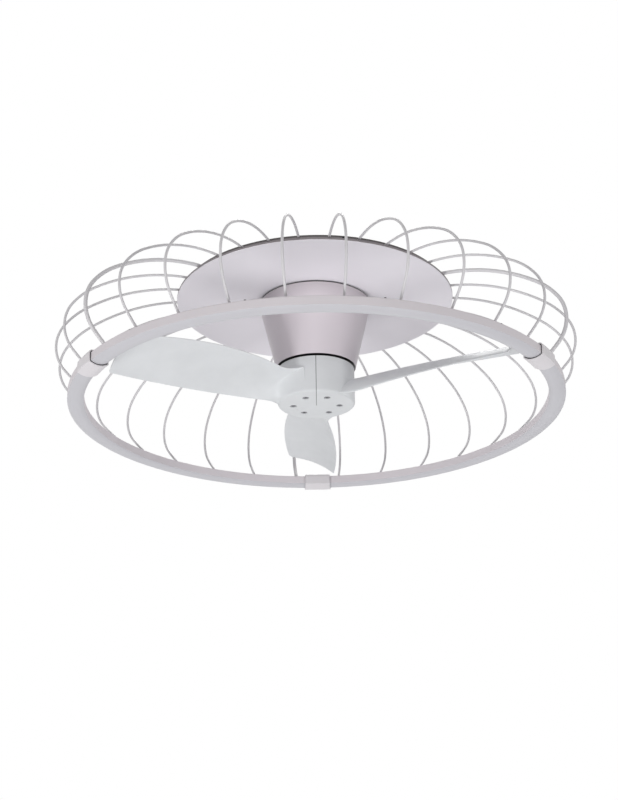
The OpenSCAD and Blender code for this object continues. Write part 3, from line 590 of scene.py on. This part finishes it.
def rod_line():
    """The rod's centre line in its own upright plane: points (radius, height), and the heading at each, down
    from level. On an arc of radius R the bar at heading h is at its start + R (sin h, cos h), less that sum
    at the start."""
    points = [np.stack([DRUM_R + STRAIGHT, np.full(len(STRAIGHT), SPOKE_Z)], -1)]
    heading = [np.zeros(len(STRAIGHT))]
    for radius, h0, h1 in zip(sweep_radii, headings[:-1], headings[1:]):
        h = np.linspace(h0, h1, max(6, int(math.degrees(h1 - h0) / 2.5)))[1:]
        start = points[-1][-1]
        points.append(start + radius * np.stack([np.sin(h) - math.sin(h0), np.cos(h) - math.cos(h0)], -1))
        heading.append(h)
    h0, h = headings[-1], np.linspace(headings[-1], math.pi / 2, 8)[1:]
    start = points[-1][-1]
    points.append(start - FOOT_BEND_R * np.stack([np.sin(h) - math.sin(h0), np.cos(h) - math.cos(h0)], -1))
    heading.append(h)
    points.append(points[-1][-1] + np.array([[0, -FOOT_IN]]))
    heading.append(np.array([math.pi / 2]))
    return np.concatenate(points), np.concatenate(heading)


line, line_heading = rod_line()
print("rod: foot off its hole by", round(1e6 * abs(line[-1, 0] - FOOT_R), 3), "micrometres;",
      "length", round(1000 * np.hypot(*np.diff(line, axis=0).T).sum(), 1), "mm;",
      "radii", [round(1000 * r, 1) for r in sweep_radii])

# %% [markdown]
# Now the circle goes along the line. At each point two directions lie square to the bar: one in the
# plane of the rod, (sin h, cos h), and one across it. A point of the circle is the centre plus the
# radius times the cosine of one and the sine of the other. The ends are closed by flat caps.

# %% Thirty bars round the cage
def bent_bar(radius, sides=14):
    """A circle of that radius, wider at the head, carried along the rod's line in the plane of azimuth 0, with
    both ends capped."""
    turn = np.linspace(0, 2 * math.pi, sides, endpoint=False)
    square = np.stack([np.sin(line_heading), np.cos(line_heading)], -1)
    radii = radius + np.pad(HEAD, (0, len(line) - len(HEAD)))[:, None, None]
    flat = line[:, None, :] + radii * np.cos(turn)[None, :, None] * square[:, None, :]
    across = radii * np.sin(turn)[None, :, None]
    points = np.concatenate([flat[..., :1], across, flat[..., 1:]], -1)
    rows = len(line)
    ends = np.stack([np.arange(sides)[::-1], (rows - 1) * sides + np.arange(sides)])
    return points, [grid_faces(rows, sides, wrap_columns=True), ends]


def about_axis(points, azimuth):
    """Points turned about the fan's axis by an azimuth in degrees."""
    c, s = math.cos(math.radians(azimuth)), math.sin(math.radians(azimuth))
    return points @ np.array([[c, s, 0], [-s, c, 0], [0, 0, 1]])


ROD_R, TUBE_R, SPOKES = 1.5 * MM, 2.25 * MM, 30
rod_points, rod_faces = bent_bar(ROD_R)
tube_points, tube_faces = bent_bar(TUBE_R, sides=18)
rods_made = tubes_made = 0
for spoke in range(SPOKES):
    azimuth = THIRDS[0] + (spoke + 0.5) * 360 / SPOKES
    if spoke % 10 == 0:
        tubes_made += 1
        piece(f"lead_tube_{tubes_made}", about_axis(tube_points, azimuth), tube_faces, "fixture", rod_white,
              [f"feed_tube_{tubes_made}"])
    else:
        rods_made += 1
        piece(f"bent_rod_{rods_made:02d}", about_axis(rod_points, azimuth), rod_faces, "fixture", rod_white,
              [f"cage_rod_{rods_made:02d}"])
print("rods", rods_made, "tubes", tubes_made)

# %% [markdown]
# ## A twisted blade
# The blade is the hardest form here. It is steep beside the hub and flattens towards the tip, because
# the tip moves faster through the air; it is cambered like a wing, widest a little past half way,
# and its tip is raked and has two different corners. Pushing a grid about by hand would never come
# out the same three times, so the blade is written as a function: x runs out along it and s across it,
# from 0 at the low edge to 1 at the high one. These are the formulas of the CAD part, on a finer grid,
# and with edges that are rounded over instead of cut square. Sizes in this cell are in millimetres.

# %% The blade's formulas
BLADE_R = (RING_R - RING_W) / MM - 18.5  # the tip stays this far inside the ring
HUB, FLOOR = HUB_R / MM, HUB_Z / MM
WALL = 2.4  # thickness of the hub's wall
ROOT_X, FLARE_X = 60, 64
WIDE_X = ROOT_X + 0.606 * (BLADE_R - ROOT_X)
SWEEP_X = ROOT_X + 0.675 * (BLADE_R - ROOT_X)
WIDEST, ROOT_CHORD = 75, 48
TIP_SLOPE = math.tan(math.radians(20.8))
CAMBER, BODY, EDGE = 5.6, 3.5, 1.1  # height of the camber, thickness added in the middle, thickness at the edges
TIP_RAKE, HIGH_CORNER, LOW_CORNER = 5.3, 7.5, 1.5


def chord(x):
    """Width of the blade: a parabola from its widest place down to the root's chord."""
    return WIDEST - (WIDEST - ROOT_CHORD) * ((x - WIDE_X) / (WIDE_X - ROOT_X)) ** 2


def pitch(x):
    """Angle of the chord to level. Its tangent falls about with the root of the distance, to the tip's slope."""
    return np.arctan(TIP_SLOPE * (BLADE_R / x) ** 0.455)


def flare(x):
    """The widening of the root: 0 beyond FLARE_X, and growing with the square of the way in from there."""
    return np.clip((FLARE_X - x) / (FLARE_X - HUB + 10), 0, 1) ** 2


def half_round(distance, radius):
    """How far a rounded edge has opened, 0 at the edge itself and 1 a radius inside it: a quarter circle."""
    return np.sqrt(1 - (1 - np.clip(distance / radius, 0, 1)) ** 2)


def section(x, s, side=0):
    """Point of the blade across (y) and up (z). The low edge is a parabola that lies just above the hub's
    floor. The chord leans from it to the high edge; the middle surface stands off the chord by a parabola, and
    side -1 or 1 goes half the thickness down or up from there. The flare widens the root on both sides."""
    low = np.stack([-25.2 + 0.00066 * (x - SWEEP_X) ** 2 - 14 * flare(x),
                    FLOOR + 0.003 * np.maximum(0, x - HUB)], -1)
    span = np.stack([chord(x) * np.cos(pitch(x)) + 29 * flare(x),
                     chord(x) * np.sin(pitch(x)) + 6 * flare(x)], -1)
    along = span / np.linalg.norm(span, axis=-1, keepdims=True)
    square = np.stack([-along[..., 1], along[..., 0]], -1)
    thin = 1 - 0.45 * (x - HUB) / (BLADE_R - HUB)
    body = BODY * thin * np.sqrt(4 * s * (1 - s))
    edge = EDGE * half_round(np.minimum(s, 1 - s) * chord(x), 0.7)
    half = (edge + body) / 2 * half_round(tip_end(s) - x, 1.2)
    up = CAMBER * 4 * s * (1 - s) + (EDGE + body) / 2 + side * half
    return low + span * s[..., None] + square * up[..., None]


def tip_end(s):
    """Where the blade ends: raked back towards the high side, with two corners that are quarter circles."""
    def corner(radius, distance):
        inside = np.clip(distance, 0, radius)
        return radius - np.sqrt(radius ** 2 - (radius - inside) ** 2)
    width = chord(BLADE_R)
    return BLADE_R - TIP_RAKE * s ** 2.4 - corner(HIGH_CORNER, (1 - s) * width) - corner(LOW_CORNER, s * width)


def root_end(s):
    """Where the blade ends inside the hub's wall, found by stepping three times towards the wall's middle."""
    x = np.full_like(s, HUB - 4)
    for _ in range(3):
        x = np.sqrt((HUB - WALL / 2) ** 2 - section(x, s)[..., 0] ** 2)
    return x


print("blade: chord at the tip", round(float(chord(BLADE_R)), 1), "mm; pitch beside the hub and at the tip",
      [round(math.degrees(float(pitch(x))), 1) for x in (HUB, BLADE_R)], "degrees")

# %% [markdown]
# The grid of the blade is not even. Rows crowd towards the tip and columns towards both edges, where
# the surface turns quickest: a sine does that. Under the root the plastic is filled down to the
# hub's floor, and the fill fades out along the blade with a smooth step, so that no crease is left.

# %% Three blades
def blade_shell(web_rows=9, span_rows=56, columns=40):
    """Upper and lower surface as one closed shell. Rows run from the hub's wall to the tip, columns from s = 0
    to 1."""
    s = (1 - np.cos(math.pi * np.linspace(0, 1, columns + 1))) / 2
    root = root_end(s)
    web_end = root + 2 + 34 * (1 - s) ** 2.2
    fill = np.linspace(0, 1, web_rows + 1)
    out = np.sin(math.pi / 2 * np.linspace(0, 1, span_rows + 1)[1:] ** 1.2)
    x = np.concatenate([root + (web_end - root) * fill[:, None], web_end + (tip_end(s) - web_end) * out[:, None]])
    across = np.broadcast_to(s, x.shape)
    upper, lower = section(x, across, 1), section(x, across, -1)
    smooth = fill * fill * (3 - 2 * fill)
    lower[:web_rows + 1, :, 1] = FLOOR + 1 + (lower[:web_rows + 1, :, 1] - FLOOR - 1) * smooth[:, None]
    points = np.stack([np.concatenate([x[..., None], side], -1) for side in (upper, lower)])
    rows, width = x.shape
    faces = grid_faces(rows, width)
    rim = np.concatenate([np.arange(width - 1), np.arange(rows - 1) * width + width - 1,
                          (rows - 1) * width + np.arange(width - 1, 0, -1), np.arange(rows - 1, 0, -1) * width])
    other = rows * width
    side = np.stack([rim, np.roll(rim, -1), np.roll(rim, -1) + other, rim + other], -1)
    return points.reshape(-1, 3) * MM, [np.concatenate([faces[:, ::-1], faces + other, side])]


blade_points, blade_faces = blade_shell()
for number, azimuth in enumerate(THIRDS, 1):
    made = piece(f"twisted_blade_{number}", about_axis(blade_points, azimuth), blade_faces, "rotor", blade_white,
                 [f"blade_{number}"])
print("blade:", len(made.data.vertices), "points,", open_edges(made), "open edges")

# %% [markdown]
# ## The hub, in three thirds
# The same moulding carries on as a third of the hub: a wall with a rounded lower edge and a floor with
# two sunk screw holes. The wall is a turned profile. A flat floor with holes is usually cut with a
# Boolean, which leaves long thin faces; here each hole gets its own patch instead. Seen from the middle
# of a hole, every point of the patch's outline lies in plain view, so straight lines from the hole's
# circle to the outline cover the patch without overlapping.

# %% A floor patch round one screw hole
SCREW_R, SCREW_AZIMUTH, HALF_SEAM = 28, 32.6, 0.15  # the last two in degrees
HEAD_HOLE, HEAD_DEEP, SHANK_HOLE = 4, 2.4, 2.15  # radius and depth for the screw's head, radius for its shank
FLOOR_T, LOWER_ROUND, UPPER_ROUND, INNER = 4, 3.5, 0.6, 0.6
ARC_STEPS, LINE_STEPS, BLEND_STEPS = 20, 8, 5


def at_angle(angle, radius):
    """The point (radius cos, radius sin) in the plane."""
    return np.stack([radius * np.cos(angle), radius * np.sin(angle)], -1)


def patch(a0, a1, outer, height, hole):
    """Floor between two azimuths (degrees), from the hub's middle to a radius, round the screw hole on its side
    of the blade: a grid that blends from the hole's circle to the outline. The outline goes outer arc, line,
    inner arc, line, so its points match those of the wall."""
    angle = np.radians(np.linspace(a0, a1, ARC_STEPS + 1))
    along = np.linspace(INNER, outer, LINE_STEPS + 1)
    outline = np.concatenate([at_angle(angle, outer)[:-1], at_angle(angle[-1], along[::-1])[:-1],
                              at_angle(angle[::-1], INNER)[:-1], at_angle(angle[0], along)[:-1]])
    middle = at_angle(math.radians(math.copysign(SCREW_AZIMUTH, a0 + a1)), SCREW_R)
    away = outline - middle
    circle = middle + hole * away / np.linalg.norm(away, axis=-1, keepdims=True)
    share = np.linspace(0, 1, BLEND_STEPS + 1)[:, None, None]
    flat = circle + share * (outline - circle)
    return np.concatenate([flat, np.full((*flat.shape[:2], 1), height)], -1)


print("patch:", patch(0, 60, HUB - LOWER_ROUND, 0, HEAD_HOLE).shape[:2], "points")

# %% Three thirds of the hub
def hub_third():
    """Wall, both floors, screw holes and seam faces of one third, in millimetres, as a list of (points, faces)."""
    half = 60 - HALF_SEAM
    steps = 2 * ARC_STEPS
    low, high, floor_top = FLOOR, (HUB_Z + HUB_H) / MM, FLOOR + FLOOR_T
    under, within = HUB - LOWER_ROUND, HUB - WALL  # the floor's outer radius below and above
    wall = np.concatenate([arc((under, low + LOWER_ROUND), LOWER_ROUND, -90, 0, 8),
                           arc((HUB - UPPER_ROUND, high - UPPER_ROUND), UPPER_ROUND, 0, 90, 3),
                           [[within, high], [within, floor_top]]])
    post = np.array([[INNER, floor_top], [INNER, low]])
    shells = [(turned(profile, -half, 2 * half, steps), grid_faces(steps + 1, len(profile)))
              for profile in (wall, post)]
    for a0, a1 in ((-half, 0), (0, half)):
        for height, outer, hole, turn in ((low, under, HEAD_HOLE, -1), (floor_top, within, SHANK_HOLE, 1)):
            flat = patch(a0, a1, outer, height, hole)
            shells.append((flat, grid_faces(*flat.shape[:2], wrap_columns=True)[:, ::turn]))
        levels = ((under, low, HEAD_HOLE), (under, low + HEAD_DEEP, HEAD_HOLE),
                  (within, low + HEAD_DEEP, SHANK_HOLE), (within, floor_top, SHANK_HOLE))
        hole_wall = np.stack([patch(a0, a1, *level)[0] for level in levels])
        shells.append((hole_wall, grid_faces(4, hole_wall.shape[1], wrap_columns=True)))
    count = LINE_STEPS + 1
    bottom_line = np.stack([np.linspace(INNER, under, count), np.full(count, low)], -1)
    top_line = np.stack([np.linspace(within, INNER, count), np.full(count, floor_top)], -1)
    seam = np.concatenate([bottom_line, wall[1:], top_line[1:]])
    for end, turn in ((-half, 1), (half, -1)):
        face = turned(seam, end, 0, 1)[0]
        shells.append((face, np.arange(len(seam))[None, ::turn]))
    return shells


def joined(shells):
    """Several (points, faces) as one: the faces of each are renumbered past the points before it."""
    points, faces, count = [], [], 0
    for grid, quads in shells:
        points.append(grid.reshape(-1, 3))
        faces.append(quads + count)
        count += len(points[-1])
    return np.concatenate(points), faces


hub_points, hub_faces = joined(hub_third())
for number, azimuth in enumerate(THIRDS, 1):
    made = piece(f"hub_third_{number}", about_axis(hub_points * MM, azimuth), hub_faces, "rotor", blade_white,
                 [f"blade_{number}"], crease=25)
print("hub third:", len(made.data.vertices), "points,", open_edges(made), "open edges")

# %% [markdown]
# ## Painted shade in the clips
# The three ring sections meet under three sleeves. A fine dark line runs round the ring at each end of a sleeve: the
# shade in the gap between sleeve and ring, painted here as a thin black band in the sleeve's mouth. It follows the
# ring's outline at a small distance, so it is a profile between two offsets of that outline, turned through half a
# degree.

# %% The ring's outline and the painted shade bands at the clips
BULGE, CORNER = 3 * MM, 1.5 * MM
SHADE_BAND_IN, SHADE_BAND_OUT = 0.05 * MM, 1.1 * MM  # how far the painted shade band's inside and outside stand off the ring
SHADE_BAND_STARTS, SHADE_BAND_SWEEP = (-3.4, 2.9), 0.5  # degrees, from the joint
RING_MID_R = RING_R - RING_W / 2
ARCH_R = ((RING_W / 2) ** 2 + BULGE ** 2) / (2 * BULGE)
ARCH_Z = RING_CREASE_Z - BULGE + ARCH_R


def ring_outline(grown):
    """The ring's section grown by a distance: two rounded upper corners, and below them the shallow arch of
    the diffuser."""
    lean = math.degrees(math.asin((RING_W / 2 + grown) / (ARCH_R + grown))) * 0.985
    return np.concatenate([
        arc((RING_R - CORNER, RING_TOP_Z - CORNER), CORNER + grown, 0, 90, 6),
        arc((RING_R - RING_W + CORNER, RING_TOP_Z - CORNER), CORNER + grown, 90, 180, 6),
        arc((RING_MID_R, ARCH_Z), ARCH_R + grown, -90 - lean, -90 + lean, 16)])


def sleeve(inner, outer, start, sweep, steps):
    """A closed band between two grown outlines of the ring, turned through an angle. Its four sides are grids."""
    near, far = (turned(ring_outline(grown), start, sweep, steps) for grown in (inner, outer))
    first, last = (np.stack([near[row], far[row]]) for row in (0, -1))
    side = grid_faces(steps + 1, near.shape[1], wrap_columns=True)
    end = grid_faces(2, near.shape[1], wrap_columns=True)
    return joined([(near, side), (far, side[:, ::-1]), (first, end[:, ::-1]), (last, end)])


# each band is painted shade: a black strip where the sleeve's gap lies in shadow
for number, joint in enumerate(THIRDS, 1):
    for mark, start in zip("ab", SHADE_BAND_STARTS):
        points, faces = sleeve(SHADE_BAND_IN, SHADE_BAND_OUT, joint + start, SHADE_BAND_SWEEP, steps=2)
        made = piece(f"painted_clip_shade_{number}{mark}", points, faces, "fixture", clip_gap_shade_finish)
print("liner:", len(made.data.vertices), "points,", open_edges(made), "open edges")

# %% [markdown]
# ## Finishes for the CAD parts
# Every other part keeps the mesh that came from CAD and gets a finish in place of its plain colour.

# %% Hand out the finishes
FINISHES = {
    "ceiling_bracket": zinc, "canopy_drum": canopy_coat, "canopy_plate": canopy_coat,
    "canopy_screws": black_steel, "terminal_block": terminal_white, "driver_box": driver_black,
    "motor_flange": cast_grey, "motor_housing": housing_white, "ball_bearings": bright_steel,
    "stator_core": core_laminations, "stator_windings": copper, "motor_shaft": bright_steel,
    "shaft_clip": black_steel, "rotor_can": can_gap_shade, "rotor_magnets": magnet, "blade_screws": screw_steel,
    "led_boards": led_metal, "ring_screws": black_steel, "ring_channel": ring_white, "ring_diffuser": opal,
    "ring_clip": clip_white,
}
given = 0
for name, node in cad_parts.items():
    material = FINISHES.get(name) or FINISHES.get(name.rsplit("_", 1)[0])
    if material:
        node.data.materials.clear()
        node.data.materials.append(material)
        given += 1
print("finishes on CAD parts:", given)

# %% [markdown]
# ## Floor, white surroundings and light
# The photograph has a plain white ground. Here the white is only what the camera and reflections see:
# Light Path tells a camera ray from a ray that carries light, so the world can be pure white to look
# at and still light the fan at a modest level. The floor lies a room's height below the ceiling. It is
# a pale paint with some glow of its own for the camera, and the light that falls on it brings it up to
# white. Where the fan takes that light away, its soft shadow is left.

# %% The world
WHITE, BLACK = (1, 1, 1, 1), (0, 0, 0, 1)


def seen_directly(tree):
    """1 for a ray from the camera or from a reflection, 0 for a ray that carries light to a surface."""
    path = add_node(tree, "ShaderNodeLightPath")
    return (path["Is Camera Ray"] + path["Is Glossy Ray"] + path["Is Transmission Ray"]).clamped()


scene = bpy.context.scene
scene.view_settings.view_transform = "Standard"
world = bpy.data.worlds.new("white_studio")
scene.world = world
world.use_nodes = True
tree = world.node_tree
tree.nodes.clear()
light = add_node(tree, "ShaderNodeBackground", {}, {"Color": WHITE, "Strength": 0.36})[0]
backdrop = add_node(tree, "ShaderNodeBackground", {}, {"Color": WHITE, "Strength": 1})[0]
both = add_node(tree, "ShaderNodeMixShader", {}, {0: seen_directly(tree), 1: light, 2: backdrop})[0]
add_node(tree, "ShaderNodeOutputWorld", {}, {"Surface": both})
print("world ready")

# %% The floor
FLOOR_Z, FLOOR_HALF = -2.45, 6
GLOW_NEAR = (0.55, 0.55, 0.55, 1)
GLOW_FROM, GLOW_FULL = 2.5, 5.5  # metres from the fan's axis


def floor_material():
    """A pale floor with a glow that only the camera and reflections see. The light that falls on it adds the
    rest up to white, so that the shadow of the fan stays. Far out the glow grows, so that the floor's edge is
    lost."""
    material = finish("pale_floor", roughness=0.85, **{"Emission Strength": 1}, colour=lambda t: mixed(
        t, paint(236, 236, 238), paint(244, 244, 246), noise(t, 0.4)))
    nodes = material.node_tree
    spot = add_node(nodes, "ShaderNodeSeparateXYZ", {}, {"Vector": place(nodes)})
    far = distance_from_axis(spot).mapped(GLOW_FROM, GLOW_FULL)
    glow = mixed(nodes, BLACK, mixed(nodes, GLOW_NEAR, WHITE, far), seen_directly(nodes))
    nodes.links.new(glow.output, nodes.nodes["Principled BSDF"].inputs["Emission Color"])
    return material


corners = [(x * FLOOR_HALF, y * FLOOR_HALF, FLOOR_Z) for x, y in ((-1, -1), (1, -1), (1, 1), (-1, 1))]
floor_mesh = bpy.data.meshes.new("floor")
floor_mesh.from_pydata(corners, [], [(0, 1, 2, 3)])
floor_mesh.materials.append(floor_material())
floor = bpy.data.objects.new("floor", floor_mesh)
scene.collection.objects.link(floor)
print("floor at", floor_mesh.vertices[0].co.z)

# %% Lamps
MIDDLE, LAMP_AWAY = Vector((0, 0, -0.1)), 2.4


def lamp(name, azimuth, height, power, size=0.8):
    """A square lamp that faces the fan's middle, placed by its azimuth and its height above level, in degrees."""
    a, e = math.radians(azimuth), math.radians(height)
    away = Vector((math.cos(e) * math.cos(a), math.cos(e) * math.sin(a), math.sin(e)))
    data = bpy.data.lights.new(name, "AREA")
    data.size = size
    data.energy = power
    made = bpy.data.objects.new(name, data)
    facing = away.to_track_quat("Z", "Y").to_matrix().to_4x4()
    made.matrix_world = Matrix.Translation(MIDDLE + LAMP_AWAY * away) @ facing
    scene.collection.objects.link(made)


lamp("key_left_low", 215, -40, power=20)
lamp("fill_right_low", 320, -40, power=13.8)
lamp("fill_front", 270, 8, power=7)
lamp("fill_back", 90, -40, power=2.2)
lamp("top_back", 90, 52, power=15, size=1)
